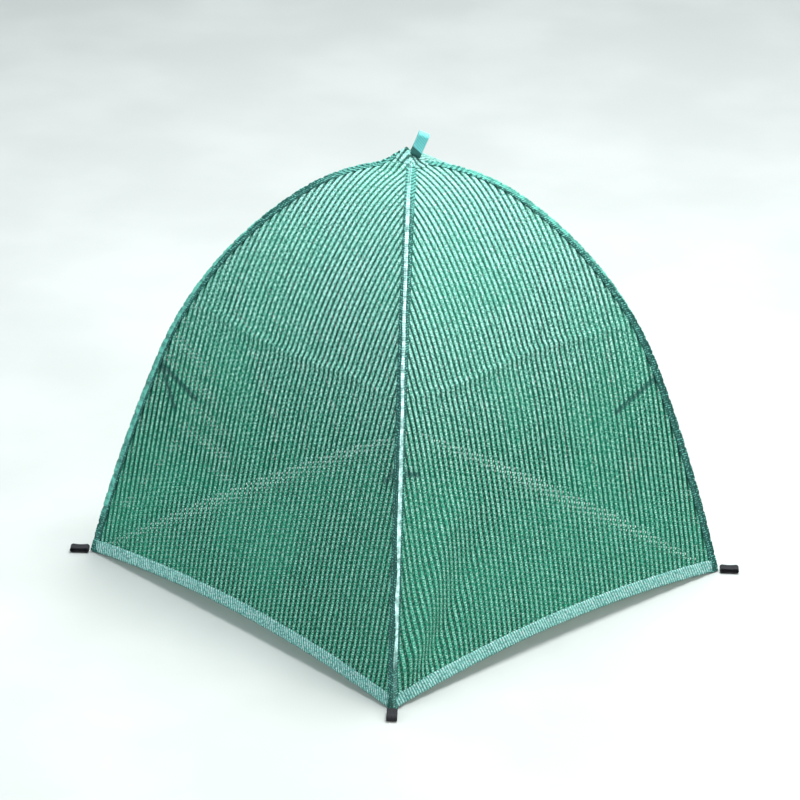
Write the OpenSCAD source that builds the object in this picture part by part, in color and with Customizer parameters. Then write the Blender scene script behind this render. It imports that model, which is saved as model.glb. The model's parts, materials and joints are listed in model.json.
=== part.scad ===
// A small square shade dome: a knitted cloth cover held up by two flexible poles that cross at the top.
// Its four corners lie on the X and Y axes, it stands on z = 0, and the poles cross above the origin.

/* [Cover] */
// Length of one side of the square foot, from corner to corner
side = 700; // [590:10:850]
// Height of the rib seams at the top
height = 676; // [562:2:820]
// Thickness of the knitted cloth
cloth_t = 1.2; // [0.8:0.1:2]
// Width of the seam allowance that runs along each rib
seam_w = 16; // [12:1:24]
// Diameter of the rolled ridge on each rib seam
ridge_d = 5; // [4:0.5:8]
// Width of the folded hem
hem_w = 20; // [12:1:32]
// How far the folded hem stands proud of the cloth on each face
hem_fold_t = 0.6; // [0.4:0.1:1.2]
// How far the middle of each hem is drawn up off the floor
hem_rise = 22; // [10:1:40]
// Diameter of the gathered patch at the top
crown_d = 46; // [40:1:60]
// Height of the gathers above the ribs
gather_h = 4; // [4:0.5:12]

/* [Rib curve] */
// Radius of the rib over the crown
crown_r = 293; // [280:1:310]
// Slope of the rib where the crown ends and the shoulder starts
crown_slope = 35.3; // [34:0.1:37]
// Slope of the rib where the shoulder ends and the leg starts
shoulder_slope = 69; // [68:0.5:70]
// Slope of the rib at the floor
foot_slope = 76; // [75.5:0.5:78]

/* [Poles] */
// Outside diameter of the poles
pole_d = 6; // [5:0.5:8]
// Wall of the poles
pole_wall = 1.4; // [1:0.1:1.8]
// Diameter of the elastic cord inside each pole
cord_d = 2; // [1.5:0.1:2.2]
// Gap between two pole sections inside their ferrule
section_gap = 1; // [0.5:0.1:2]
// Length of the metal ferrules
ferrule_l = 40; // [24:2:44]
// Wall of the metal ferrules
ferrule_wall = 0.6; // [0.4:0.1:1]
// How far a pole goes into its plastic tip
tip_depth = 16; // [10:1:24]
// Wall of the plastic tips
tip_wall = 1.2; // [0.8:0.1:2]
// Solid length below the pole at the end of each tip
tip_end_l = 4; // [3:0.5:8]

/* [Webbing and ties] */
// Thickness of the webbing
webbing_t = 1.2; // [1:0.1:2]
// Width of the corner loops
corner_loop_w = 16; // [12:1:25]
// Length of the corner loops
corner_loop_l = 30; // [26:1:45]
// Gap between the two layers of a corner loop
corner_loop_gap = 6; // [5:0.5:9]
// Width of the carrying loop
top_loop_w = 17; // [16:1:30]
// Length of the carrying loop
top_loop_l = 47; // [44:1:80]
// Gap between the two layers of the carrying loop
top_loop_gap = 9; // [7:0.5:14]
// How far the carrying loop leans over sideways
top_loop_lean = 22; // [0:1:25]
// How far to the right of the poles' crossing the carrying loop is sewn on
top_loop_shift = 5; // [0:1:6]
// Depth of the corner pockets above the pole tips' ends
pocket_depth = 14; // [8:1:24]
// Width of the tie ribbons
tie_w = 8; // [6:0.5:12]
// Thickness of the tie ribbons
tie_t = 0.9; // [0.8:0.1:1.5]
// How far the side ties sit below the upper ends of the legs
tie_drop = 12; // [8:1:16]
// Length of the longer tail of each tie
tail_l = 96; // [40:4:100]

/* [Fits] */
// Slip fit between a pole and the ferrule or tip around it, which lets the pole bend a little inside
slip = 0.2; // [0.2:0.02:0.3]
// Smallest gap between parts that lie side by side
gap = 0.4; // [0.3:0.1:0.8]

/* [Hidden] */

$fn = 48;
arch_fn = 256; // facets of the very large hem arch
steps = 6; // straight strips of cloth along each of a rib's three arcs
cord_steps = 10; // straight pieces of elastic cord along each arc
cord_sides = 6;
root2 = sqrt(2);
ease = 0.01; // how far a cutting solid runs past what it cuts
least_slip = 0.02; // room left where a pole bends furthest away from its ferrule

// Where things point, as turns about Z from +X
right_turn = 0;
back_turn = 90;
left_turn = 180;
front_turn = 270;

corner_x = side / root2;
pole_r = pole_d / 2;
ferrule_r = pole_r + slip + ferrule_wall;
tip_r = pole_r + slip + tip_wall;
pocket_r = tip_r + gap + webbing_t;
block = 2 * max(side, height); // larger than the whole cover

// The hem's lower edge is an arc in side view, from corner to corner
arch_r = (side * side / 4 + hem_rise * hem_rise) / (2 * hem_rise);

// A rib is three arcs that meet smoothly. Each is [radius, slope where it starts, slope where it ends].
function run(from, to) = sin(to) - sin(from);
function fall(from, to) = cos(from) - cos(to);
function arc_end(arc, start) = start + arc[0] * [run(arc[1], arc[2]), -fall(arc[1], arc[2])];

// The shoulder's and the leg's radii follow from the crown's, and from where the rib starts and stops
function rib_arcs(first_r, top, foot) =
    let (
        x_left = foot[0] - first_r * run(0, crown_slope),
        z_left = top - foot[1] - first_r * fall(0, crown_slope),
        run2 = run(crown_slope, shoulder_slope),
        fall2 = fall(crown_slope, shoulder_slope),
        run3 = run(shoulder_slope, foot_slope),
        fall3 = fall(shoulder_slope, foot_slope),
        det = run2 * fall3 - run3 * fall2
    )
    [
        [first_r, 0, crown_slope],
        [(x_left * fall3 - z_left * run3) / det, crown_slope, shoulder_slope],
        [(z_left * run2 - x_left * fall2) / det, shoulder_slope, foot_slope]
    ];

// A curve is its three arcs, the point where each starts, and the point where the last one ends
function curve(first_r, top, foot) =
    let (
        arcs = rib_arcs(first_r, top, foot),
        start2 = arc_end(arcs[0], [0, top]),
        start3 = arc_end(arcs[1], start2)
    )
    [arcs, [[0, top], start2, start3], foot];

function arc_point(c, k, slope) =
    arc_end([c[0][k][0], c[0][k][1], slope], c[1][k]);
function arc_centre(c, k) =
    c[1][k] - c[0][k][0] * [sin(c[0][k][1]), cos(c[0][k][1])];
function degrees_of(length, radius) = length / radius * 180 / PI;
// Slope on the leg's arc at a height
function leg_slope(c, z) = acos(cos(c[0][2][1]) - (c[1][2][1] - z) / c[0][2][0]);

cover = curve(crown_r, height, [corner_x, 0]);
tie_z = cover[1][2][1] - tie_drop; // the ties go with the legs wherever their upper ends come to lie

// The tips stand in pockets that just clear the floor
foot_z = gap + (tip_end_l + gap + webbing_t) * sin(foot_slope) + pocket_r * cos(foot_slope);
foot_x = corner_x - foot_z / tan(foot_slope) - (cloth_t + pocket_r) * root2 - gap;
pole_inset = (cloth_t + ferrule_r) * norm([1, sin(shoulder_slope)]) + gap; // clears the fold of the seams
pole_drop = pole_d + gap; // the front pole passes under the side pole at the top
side_top = height - pole_inset;
side_curve = curve(crown_r - pole_inset, side_top, [foot_x, foot_z]);
front_curve = curve(crown_r - pole_inset - pole_drop, side_top - pole_drop, [foot_x, foot_z]);

// Where the ribbon tails lie
tail_turn = 130; // from straight out at the corner to nearly along the panel
long_droop = 18;
short_droop = 50;
hanging_splay = 12;

hinge_x = corner_x + ridge_d / 2 + gap + webbing_t + corner_loop_gap / 2 + ridge_d / 4;
hinge_z = gap + webbing_t + corner_loop_gap / 2;
top_hinge_z = height + gather_h + gap + (top_loop_gap / 2 + webbing_t) * cos(top_loop_lean)
    + top_loop_w / 2 * sin(top_loop_lean);

// ---- Cloth ----

// A panel is the same distance out everywhere on one level, so its outline is the rib's, narrowed by root 2
function cloth_normal(slope) =
    [sin(slope), cos(slope) / root2] / norm([sin(slope), cos(slope) / root2]);
function cloth_line(out) = [
    for (k = [0:2], i = [0:(k == 2 ? steps : steps - 1)])
        let (
            slope = cover[0][k][1] + (cover[0][k][2] - cover[0][k][1]) * i / steps,
            p = arc_point(cover, k, slope)
        )
        [p[0] / root2, p[1]] + out * cloth_normal(slope)
];
// The same line, carried on below the floor to be trimmed
function long_line(out) =
    let (line = cloth_line(out), last = line[len(line) - 1])
    concat(line, [last + 2 * hem_w * [cos(foot_slope) / root2, -sin(foot_slope)]]);
function backwards(line) = [for (i = [len(line) - 1:-1:0]) line[i]];

// One whole side of the dome, facing +X, much wider than the panel
module cloth_side(out, in) {
    rotate([90, 0, 0])
        linear_extrude(height = block, center = true)
            polygon(concat(long_line(out), backwards(long_line(-in))));
}

// The quarter of space that a panel facing +X fills, between its two ribs
module between_ribs(setback) {
    rotate([0, 0, -45])
        translate([setback, setback, -block / 2])
            cube([block, block, 2 * block]);
}

// Everything under the hem's arch, or under a line that is parallel to it and higher up
module under_arch(up) {
    translate([-ease, 0, hem_rise - arch_r])
        rotate([0, 90, 0])
            cylinder(h = block, r = arch_r + up, $fn = arch_fn);
}

module crown_hole() {
    cylinder(h = block, d = crown_d);
}

module panel(turn) {
    color("seagreen")
        rotate([0, 0, turn])
            difference() {
                intersection() {
                    cloth_side(0, cloth_t);
                    between_ribs(seam_w / 2);
                }
                under_arch(hem_w);
                crown_hole();
            }
}

module hem(turn) {
    color("mediumaquamarine")
        rotate([0, 0, turn])
            difference() {
                intersection() {
                    cloth_side(hem_fold_t, cloth_t + hem_fold_t);
                    between_ribs(seam_w / 2);
                    under_arch(hem_w);
                }
                under_arch(0);
            }
}

// ---- Things that follow a curve, in the XZ plane, from the top towards +X ----

// A bent tube or rod round a centre, between two slopes. It lies on the +X side where the slope is positive.
module arc_tube(centre, radius, from, to, outer_r, inner_r) {
    translate([centre[0], 0, centre[1]])
        rotate([90, 0, 0])
            rotate([0, 0, 90 - to])
                rotate_extrude(angle = to - from, $fn = arch_fn)
                    translate([radius, 0])
                        difference() {
                            circle(r = outer_r);
                            circle(r = inner_r);
                        }
}

// Stands its children at a point of a curve, with their Z up along the curve
module on_curve(point, slope) {
    translate([point[0], 0, point[1]])
        rotate([0, slope - 90, 0])
            children();
}

// The slopes at which a curve is sampled, from the top to the foot, as [arc, slope]
function samples(c, n) = [
    for (k = [0:2], i = [0:(k == 2 ? n : n - 1)])
        [k, c[0][k][1] + (c[0][k][2] - c[0][k][1]) * i / n]
];

// ---- Seams: a strip over each rib, with a rolled ridge down its middle ----

// Each row runs across the strip. The strip falls away from the ridge at the panels' own angle.
seam_ys = [-seam_w / 2, -ridge_d / 2, -ridge_d / 3, 0, ridge_d / 3, ridge_d / 2, seam_w / 2];
seam_rise = [0, 0, ridge_d / 3, ridge_d / 2, ridge_d / 3, 0, 0];

function seam_outer(slope, p) = [
    for (j = [0:len(seam_ys) - 1])
        let (
            sag = seam_rise[j] > 0 ? 0 : abs(seam_ys[j]),
            lift = p[1] > gap ? seam_rise[j] * cos(slope) : 0 // the foot ends flat on the floor
        )
        [p[0] - sag + seam_rise[j] * sin(slope), seam_ys[j], p[1] + lift]
];
function seam_inner(slope, p) =
    let (n = cloth_normal(slope) * cloth_t)
    [for (y = seam_ys) [p[0] - n[0] * root2 - abs(y), y, max(0, p[1] - n[1])]];

// A solid between two grids of points that lie over each other, row by row
module between_grids(outer, inner) {
    rows = len(outer);
    cols = len(outer[0]);
    below = rows * cols;
    function at(i, j) = i * cols + j;
    function quad(a, b, c, d) = [[a, b, c], [a, c, d]];
    faces = [
        for (i = [0:rows - 2], j = [0:cols - 2])
            each quad(at(i, j), at(i, j + 1), at(i + 1, j + 1), at(i + 1, j)),
        for (i = [0:rows - 2], j = [0:cols - 2])
            each quad(below + at(i, j), below + at(i + 1, j), below + at(i + 1, j + 1), below + at(i, j + 1)),
        for (i = [0:rows - 2])
            each quad(at(i, 0), at(i + 1, 0), below + at(i + 1, 0), below + at(i, 0)),
        for (i = [0:rows - 2])
            each quad(at(i + 1, cols - 1), at(i, cols - 1), below + at(i, cols - 1), below + at(i + 1, cols - 1)),
        for (j = [0:cols - 2])
            each quad(at(0, j + 1), at(0, j), below + at(0, j), below + at(0, j + 1)),
        for (j = [0:cols - 2])
            each quad(at(rows - 1, j), at(rows - 1, j + 1), below + at(rows - 1, j + 1), below + at(rows - 1, j))
    ];
    polyhedron(points = [for (row = outer) each row, for (row = inner) each row], faces = faces);
}

module seam(turn) {
    // The strip starts where the crown patch has covered its corners
    rows = [for (s = samples(cover, steps)) if (s[0] > 0 || s[1] > 0) s];
    color("mediumturquoise")
        rotate([0, 0, turn])
            difference() {
                between_grids(
                    [for (s = rows) seam_outer(s[1], arc_point(cover, s[0], s[1]))],
                    [for (s = rows) seam_inner(s[1], arc_point(cover, s[0], s[1]))]
                );
                crown_hole();
            }
}

module crown_patch() {
    edge_z = arc_point(cover, 0, asin(crown_d / 2 / crown_r))[1];
    color("mediumturquoise")
        rotate_extrude()
            polygon([
                [0, height - cloth_t],
                [crown_d / 2, edge_z - cloth_t],
                [crown_d / 2, edge_z + ridge_d / 4],
                [crown_d / 3, height + gather_h / 3],
                [crown_d / 8, height + gather_h],
                [0, height + gather_h]
            ]);
}

// ---- Webbing ----

// A flat loop of webbing: round at both ends, its first end centred on the origin, running out along +X
module webbing_loop(length, space, width) {
    r_out = space / 2 + webbing_t;
    reach = length - 2 * r_out;
    rotate([90, 0, 0])
        linear_extrude(height = width, center = true)
            difference() {
                union() {
                    circle(r = r_out);
                    translate([reach, 0]) circle(r = r_out);
                    translate([0, -r_out]) square([reach, 2 * r_out]);
                }
                circle(r = space / 2);
                translate([reach, 0]) circle(r = space / 2);
                translate([0, -space / 2]) square([reach, space]);
            }
}

module corner_loop(turn) {
    color("dimgray")
        rotate([0, 0, turn])
            translate([hinge_x, 0, hinge_z])
                webbing_loop(corner_loop_l, corner_loop_gap, corner_loop_w);
}

module carrying_loop() {
    color("teal")
        translate([top_loop_shift, 0, top_hinge_z])
            rotate([0, top_loop_lean, 0])
                rotate([0, 0, 90])
                    rotate([0, -90, 0])
                        webbing_loop(top_loop_l, top_loop_gap, top_loop_w);
}

module corner_pocket(turn) {
    floor_z = -tip_end_l - gap;
    color("dimgray")
        rotate([0, 0, turn])
            on_curve([foot_x, foot_z], foot_slope)
                difference() {
                    translate([0, 0, floor_z - webbing_t])
                        cylinder(h = webbing_t - floor_z + pocket_depth, r = pocket_r);
                    translate([0, 0, floor_z])
                        cylinder(h = block, r = tip_r + gap);
                }
}

// ---- Ties ----

// A flat tail of ribbon that leaves the origin along one of the two panels beside a rib.
// panel_side is 1 or -1, and droop is how steeply it falls.
module tie_tail(panel_side, droop, length) {
    rotate([0, 0, panel_side * tail_turn])
        rotate([0, droop, 0])
            translate([0, -tie_t / 2, -tie_w / 2])
                cube([length, tie_t, tie_w]);
}

// The band is loose enough to pass round the lower ferrule, where the leg starts
module side_tie(turn, c, long_side, short_side) {
    slope = leg_slope(c, tie_z);
    point = arc_point(c, 2, slope);
    hole_r = bore_r(c, 1) + ferrule_wall + slip;
    knot_r = tie_w / 2;
    knot_x = -hole_r - tie_t - knot_r / 2;
    color("darkslategray")
        rotate([0, 0, turn])
            union() {
                on_curve(point, slope)
                    difference() {
                        union() {
                            cylinder(h = tie_w, r = hole_r + tie_t, center = true);
                            translate([knot_x, 0, 0])
                                rotate([90, 0, 0])
                                    cylinder(h = tie_w, r = knot_r, center = true);
                        }
                        cylinder(h = 2 * tie_w, r = hole_r, center = true);
                    }
                translate([point[0] + knot_x - knot_r / 2, 0, point[1]]) {
                    tie_tail(long_side, long_droop, tail_l);
                    tie_tail(short_side, short_droop, tail_l * 3 / 4);
                }
            }
}

// Wraps both poles corner to corner where they cross
module crossing_tie() {
    middle = side_top - pole_drop / 2;
    hole_h = 2 * pole_d + 3 * gap;
    hole_w = root2 * pole_d + tie_w + 2 * gap;
    knot_z = -(hole_h + tie_w + tie_t) / 2;
    color("darkslategray")
        translate([0, 0, middle])
            rotate([0, 0, 45])
                union() {
                    difference() {
                        cube([hole_w + 2 * tie_t, tie_w, hole_h + 2 * tie_t], center = true);
                        cube([hole_w, 2 * tie_w, hole_h], center = true);
                    }
                    translate([0, 0, knot_z])
                        rotate([90, 0, 0])
                            cylinder(h = 1.25 * tie_w, d = tie_w, center = true);
                    for (side_turn = [-hanging_splay, hanging_splay])
                        translate([0, 0, knot_z])
                            rotate([0, side_turn, 0])
                                translate([-tie_t / 2, -tie_w / 2, -tail_l * 3 / 4])
                                    cube([tie_t, tie_w, tail_l * 3 / 4]);
                }
}

// ---- Poles ----

// Each section of a pole is one arc of its curve: the crown, a shoulder or a leg
module pole_section(c, k, from, to) {
    color("ivory")
        arc_tube(arc_centre(c, k), c[0][k][0], from, to, pole_r, pole_r - pole_wall);
}

module pole_crown(turn, c) {
    end = crown_slope - degrees_of(section_gap / 2, c[0][0][0]);
    rotate([0, 0, turn]) pole_section(c, 0, -end, end);
}

module pole_shoulder(turn, c) {
    trim = degrees_of(section_gap / 2, c[0][1][0]);
    rotate([0, 0, turn]) pole_section(c, 1, crown_slope + trim, shoulder_slope - trim);
}

module pole_leg(turn, c) {
    trim = degrees_of(section_gap / 2, c[0][2][0]);
    rotate([0, 0, turn]) pole_section(c, 2, shoulder_slope + trim, foot_slope);
}

// A ferrule bends half as much as the two sections that it joins, k and k + 1, so each of them
// leaves its middle line by this much at the ferrule's ends
function bow(c, k) = pow(ferrule_l / 2, 2) * abs(1 / c[0][k][0] - 1 / c[0][k + 1][0]) / 4;
function bore_r(c, k) = pole_r + max(slip, bow(c, k) + least_slip);

module ferrule(turn, c, k) {
    radius = 2 / (1 / c[0][k][0] + 1 / c[0][k + 1][0]);
    slope = c[0][k][2];
    half = degrees_of(ferrule_l / 2, radius);
    centre = c[1][k + 1] - radius * [sin(slope), cos(slope)];
    color("silver")
        rotate([0, 0, turn])
            arc_tube(centre, radius, slope - half, slope + half, bore_r(c, k) + ferrule_wall, bore_r(c, k));
}

module pole_tip(turn) {
    chamfer = tip_wall;
    color("black")
        rotate([0, 0, turn])
            on_curve([foot_x, foot_z], foot_slope)
                difference() {
                    union() {
                        translate([0, 0, -tip_end_l])
                            cylinder(h = chamfer, r1 = tip_r - chamfer, r2 = tip_r);
                        translate([0, 0, chamfer - tip_end_l])
                            cylinder(h = tip_end_l - chamfer + tip_depth, r = tip_r);
                    }
                    cylinder(h = 2 * tip_depth, r = pole_r + slip);
                }
}

// The cord runs through the whole pole, from tip to tip
module elastic_cord(turn, c) {
    half = samples(c, cord_steps);
    stations = [
        for (i = [len(half) - 1:-1:1]) [half[i], -1],
        for (s = half) [s, 1]
    ];
    points = [
        for (st = stations, i = [0:cord_sides - 1])
            let (
                slope = st[0][1],
                p = arc_point(c, st[0][0], slope),
                up = cord_d / 2 * cos(i * 360 / cord_sides),
                across = cord_d / 2 * sin(i * 360 / cord_sides)
            )
            [st[1] * (p[0] + up * sin(slope)), across, p[1] + up * cos(slope)]
    ];
    last = (len(stations) - 1) * cord_sides;
    faces = [
        [for (i = [0:cord_sides - 1]) i],
        [for (i = [cord_sides - 1:-1:0]) last + i],
        for (r = [0:len(stations) - 2], i = [0:cord_sides - 1])
            let (
                a = r * cord_sides + i,
                b = r * cord_sides + (i + 1) % cord_sides
            )
            each [[a, a + cord_sides, b + cord_sides], [a, b + cord_sides, b]]
    ];
    color("white")
        rotate([0, 0, turn])
            polyhedron(points = points, faces = faces);
}

panel(225);  // panel_front_left
panel(315);  // panel_front_right
panel(45);  // panel_back_right
panel(135);  // panel_back_left
hem(225);  // hem_front_left
hem(315);  // hem_front_right
hem(45);  // hem_back_right
hem(135);  // hem_back_left
seam(front_turn);  // seam_front
seam(right_turn);  // seam_right
seam(back_turn);  // seam_back
seam(left_turn);  // seam_left
crown_patch();
carrying_loop();
corner_loop(front_turn);  // corner_loop_front
corner_loop(right_turn);  // corner_loop_right
corner_loop(back_turn);  // corner_loop_back
corner_loop(left_turn);  // corner_loop_left
corner_pocket(front_turn);  // corner_pocket_front
corner_pocket(right_turn);  // corner_pocket_right
corner_pocket(back_turn);  // corner_pocket_back
corner_pocket(left_turn);  // corner_pocket_left
side_tie(front_turn, front_curve, 1, -1);  // tie_front
side_tie(right_turn, side_curve, -1, 1);  // tie_right
side_tie(back_turn, front_curve, 1, 1);  // tie_back
side_tie(left_turn, side_curve, 1, 1);  // tie_left
crossing_tie();
pole_crown(right_turn, side_curve);  // side_pole_crown
pole_shoulder(right_turn, side_curve);  // side_pole_right_shoulder
pole_shoulder(left_turn, side_curve);  // side_pole_left_shoulder
pole_leg(right_turn, side_curve);  // side_pole_right_leg
pole_leg(left_turn, side_curve);  // side_pole_left_leg
pole_crown(front_turn, front_curve);  // front_pole_crown
pole_shoulder(front_turn, front_curve);  // front_pole_front_shoulder
pole_shoulder(back_turn, front_curve);  // front_pole_back_shoulder
pole_leg(front_turn, front_curve);  // front_pole_front_leg
pole_leg(back_turn, front_curve);  // front_pole_back_leg
ferrule(right_turn, side_curve, 0);  // ferrule_right_upper
ferrule(right_turn, side_curve, 1);  // ferrule_right_lower
ferrule(left_turn, side_curve, 0);  // ferrule_left_upper
ferrule(left_turn, side_curve, 1);  // ferrule_left_lower
ferrule(front_turn, front_curve, 0);  // ferrule_front_upper
ferrule(front_turn, front_curve, 1);  // ferrule_front_lower
ferrule(back_turn, front_curve, 0);  // ferrule_back_upper
ferrule(back_turn, front_curve, 1);  // ferrule_back_lower
pole_tip(front_turn);  // pole_tip_front
pole_tip(right_turn);  // pole_tip_right
pole_tip(back_turn);  // pole_tip_back
pole_tip(left_turn);  // pole_tip_left
elastic_cord(right_turn, side_curve);  // elastic_cord_side
elastic_cord(front_turn, front_curve);  // elastic_cord_front
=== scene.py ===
import json
import math

import bmesh
import bpy
import numpy as np
from mathutils import Matrix, Vector


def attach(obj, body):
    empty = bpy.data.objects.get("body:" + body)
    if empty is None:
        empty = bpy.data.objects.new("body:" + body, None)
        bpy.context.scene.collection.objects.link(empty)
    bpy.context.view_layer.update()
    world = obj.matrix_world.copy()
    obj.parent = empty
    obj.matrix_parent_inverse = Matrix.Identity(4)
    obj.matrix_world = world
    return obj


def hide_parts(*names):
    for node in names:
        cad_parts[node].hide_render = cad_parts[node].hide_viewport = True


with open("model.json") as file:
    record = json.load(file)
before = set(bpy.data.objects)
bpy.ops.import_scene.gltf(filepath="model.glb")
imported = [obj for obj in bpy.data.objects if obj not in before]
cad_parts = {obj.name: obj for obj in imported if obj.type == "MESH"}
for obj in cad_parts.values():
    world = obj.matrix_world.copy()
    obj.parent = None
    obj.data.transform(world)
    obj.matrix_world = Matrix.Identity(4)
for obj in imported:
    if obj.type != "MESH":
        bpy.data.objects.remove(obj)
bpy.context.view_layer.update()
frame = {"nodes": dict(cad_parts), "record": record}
mm = 0.001
coverBody = "frame_and_cover"

# Camera: low three-quarter view of the front corner, through a long lens

viewSetup = {
    "lensMm": 180.0,
    "sensorMm": 36,
    "seesTo": 50,
    "distance": 6.208,
    "elevation": 24.008,     # degrees above the ground
    "turn": -1.422,          # degrees round the dome
    "roll": 1.156,
    "standPoint": (0.0, 0.0, 0.300),
    "slideLeft": 0.0112,     # how far beside and under the stand point it aims
    "slideDown": 0.0189,
}


def makeCamera(setup):
    turn = math.radians(setup["turn"])
    rise = math.radians(setup["elevation"])
    look = Vector((math.sin(turn) * math.cos(rise), math.cos(turn) * math.cos(rise), -math.sin(rise)))
    right = Vector((math.cos(turn), -math.sin(turn), 0))
    up = right.cross(look)
    place = Vector(setup["standPoint"]) - look * setup["distance"]
    aim = Vector(setup["standPoint"]) - right * setup["slideLeft"] - up * setup["slideDown"]
    data = bpy.data.cameras.new("viewCamera")
    data.lens = setup["lensMm"]
    data.sensor_width = setup["sensorMm"]
    data.clip_end = setup["seesTo"]
    camera = bpy.data.objects.new("viewCamera", data)
    bpy.context.scene.collection.objects.link(camera)
    facing = (aim - place).to_track_quat("-Z", "Y").to_matrix().to_4x4()
    roll = Matrix.Rotation(math.radians(setup["roll"]), 4, "Z")
    camera.matrix_world = Matrix.Translation(place) @ facing @ roll
    bpy.context.scene.camera = camera


makeCamera(viewSetup)
print("camera placed")

# Mesh helpers


def addPiece(name, verts, faces, nodes, material, body=coverBody, uv=None, weld=0.0):
    mesh = bpy.data.meshes.new(name)
    mesh.from_pydata([tuple(v) for v in verts], [], [tuple(f) for f in faces])
    if uv is not None:
        layer = mesh.uv_layers.new(name="clothMap")
        loops = np.zeros(len(mesh.loops), np.int32)
        mesh.loops.foreach_get("vertex_index", loops)
        layer.data.foreach_set("uv", np.asarray(uv, np.float32)[loops].ravel())
    if weld > 0:
        work = bmesh.new()
        work.from_mesh(mesh)
        bmesh.ops.remove_doubles(work, verts=work.verts, dist=weld)
        bmesh.ops.dissolve_degenerate(work, edges=work.edges, dist=weld / 2)
        loose = [v for v in work.verts if not v.link_faces]
        bmesh.ops.delete(work, geom=loose, context="VERTS")
        work.to_mesh(mesh)
        work.free()
    mesh.polygons.foreach_set("use_smooth", [True] * len(mesh.polygons))
    mesh.materials.append(material)
    mesh.update()
    piece = bpy.data.objects.new(name, mesh)
    bpy.context.scene.collection.objects.link(piece)
    if nodes:
        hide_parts(*nodes)
    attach(piece, body)
    return piece


# Quads between neighbouring rows of a grid; around closes each row, along closes the last row to the first
def gridFaces(rows, cols, around=False, along=False):
    faces = []
    for j in range(rows if along else rows - 1):
        below = (j + 1) % rows
        for i in range(cols if around else cols - 1):
            beside = (i + 1) % cols
            faces.append((j * cols + i, below * cols + i, below * cols + beside, j * cols + beside))
    return faces


# Gentle waves that never repeat, the same every time for the same seed
def softWaves(a, b, size, seed, count=7):
    dice = np.random.default_rng(seed)
    total = np.zeros_like(a)
    for k in range(count):
        heading = dice.uniform(0, 2 * math.pi)
        length = size * dice.uniform(0.6, 1.6)
        phase = dice.uniform(0, 2 * math.pi)
        total += np.sin((a * math.cos(heading) + b * math.sin(heading)) * 2 * math.pi / length + phase)
    return total / count


# Node helpers


class Finish:
    def __init__(self, name, roughness, specular=0.5, sheen=0.0, metallic=0.0):
        self.material = bpy.data.materials.new(name)
        self.material.use_nodes = True
        self.tree = self.material.node_tree
        self.shader = self.tree.nodes["Principled BSDF"]
        self.output = self.tree.nodes["Material Output"]
        self.shader.inputs["Roughness"].default_value = roughness
        self.shader.inputs["Specular IOR Level"].default_value = specular
        self.shader.inputs["Sheen Weight"].default_value = sheen
        self.shader.inputs["Metallic"].default_value = metallic
        self.place = self.tree.nodes.new("ShaderNodeTexCoord").outputs["Object"]

    def put(self, socket, value):
        if isinstance(value, bpy.types.NodeSocket):
            self.tree.links.new(value, socket)
        else:
            socket.default_value = value

    def maths(self, operation, a, b=0.0):
        node = self.tree.nodes.new("ShaderNodeMath")
        node.operation = operation
        self.put(node.inputs[0], a)
        self.put(node.inputs[1], b)
        return node.outputs[0]

    def ramp(self, value, start, end, low=0.0, high=1.0):
        node = self.tree.nodes.new("ShaderNodeMapRange")
        node.interpolation_type = "SMOOTHSTEP"
        for socket, number in zip(node.inputs, (value, start, end, low, high)):
            self.put(socket, number)
        return node.outputs[0]

    def blend(self, share, a, b):
        node = self.tree.nodes.new("ShaderNodeMix")
        node.data_type = "RGBA"
        self.put(node.inputs["Factor"], share)
        self.put(node.inputs[6], a)
        self.put(node.inputs[7], b)
        return node.outputs[2]

    def noise(self, scale, detail=3.0, vector=None):
        node = self.tree.nodes.new("ShaderNodeTexNoise")
        self.put(node.inputs["Vector"], vector or self.place)
        node.inputs["Scale"].default_value = scale
        node.inputs["Detail"].default_value = detail
        return node.outputs["Fac"]

    def mapped(self):
        uv = self.tree.nodes.new("ShaderNodeUVMap")
        uv.uv_map = "clothMap"
        parts = self.tree.nodes.new("ShaderNodeSeparateXYZ")
        self.tree.links.new(uv.outputs[0], parts.inputs[0])
        return parts.outputs[0], parts.outputs[1]

    def attribute(self, name):
        node = self.tree.nodes.new("ShaderNodeAttribute")
        node.attribute_name = name
        return node.outputs["Fac"]

    def height(self):
        parts = self.tree.nodes.new("ShaderNodeSeparateXYZ")
        self.tree.links.new(self.place, parts.inputs[0])
        return parts.outputs[2]

    def bump(self, value, distance, strength=1.0):
        node = self.tree.nodes.new("ShaderNodeBump")
        node.inputs["Strength"].default_value = strength
        node.inputs["Distance"].default_value = distance
        self.put(node.inputs["Height"], value)
        self.tree.links.new(node.outputs[0], self.shader.inputs["Normal"])

    def glow(self, colour, share):
        through = self.tree.nodes.new("ShaderNodeBsdfTranslucent")
        mix = self.tree.nodes.new("ShaderNodeMixShader")
        self.put(through.inputs["Color"], colour)
        mix.inputs[0].default_value = share
        self.tree.links.new(self.shader.outputs[0], mix.inputs[1])
        self.tree.links.new(through.outputs[0], mix.inputs[2])
        self.tree.links.new(mix.outputs[0], self.output.inputs["Surface"])


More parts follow.
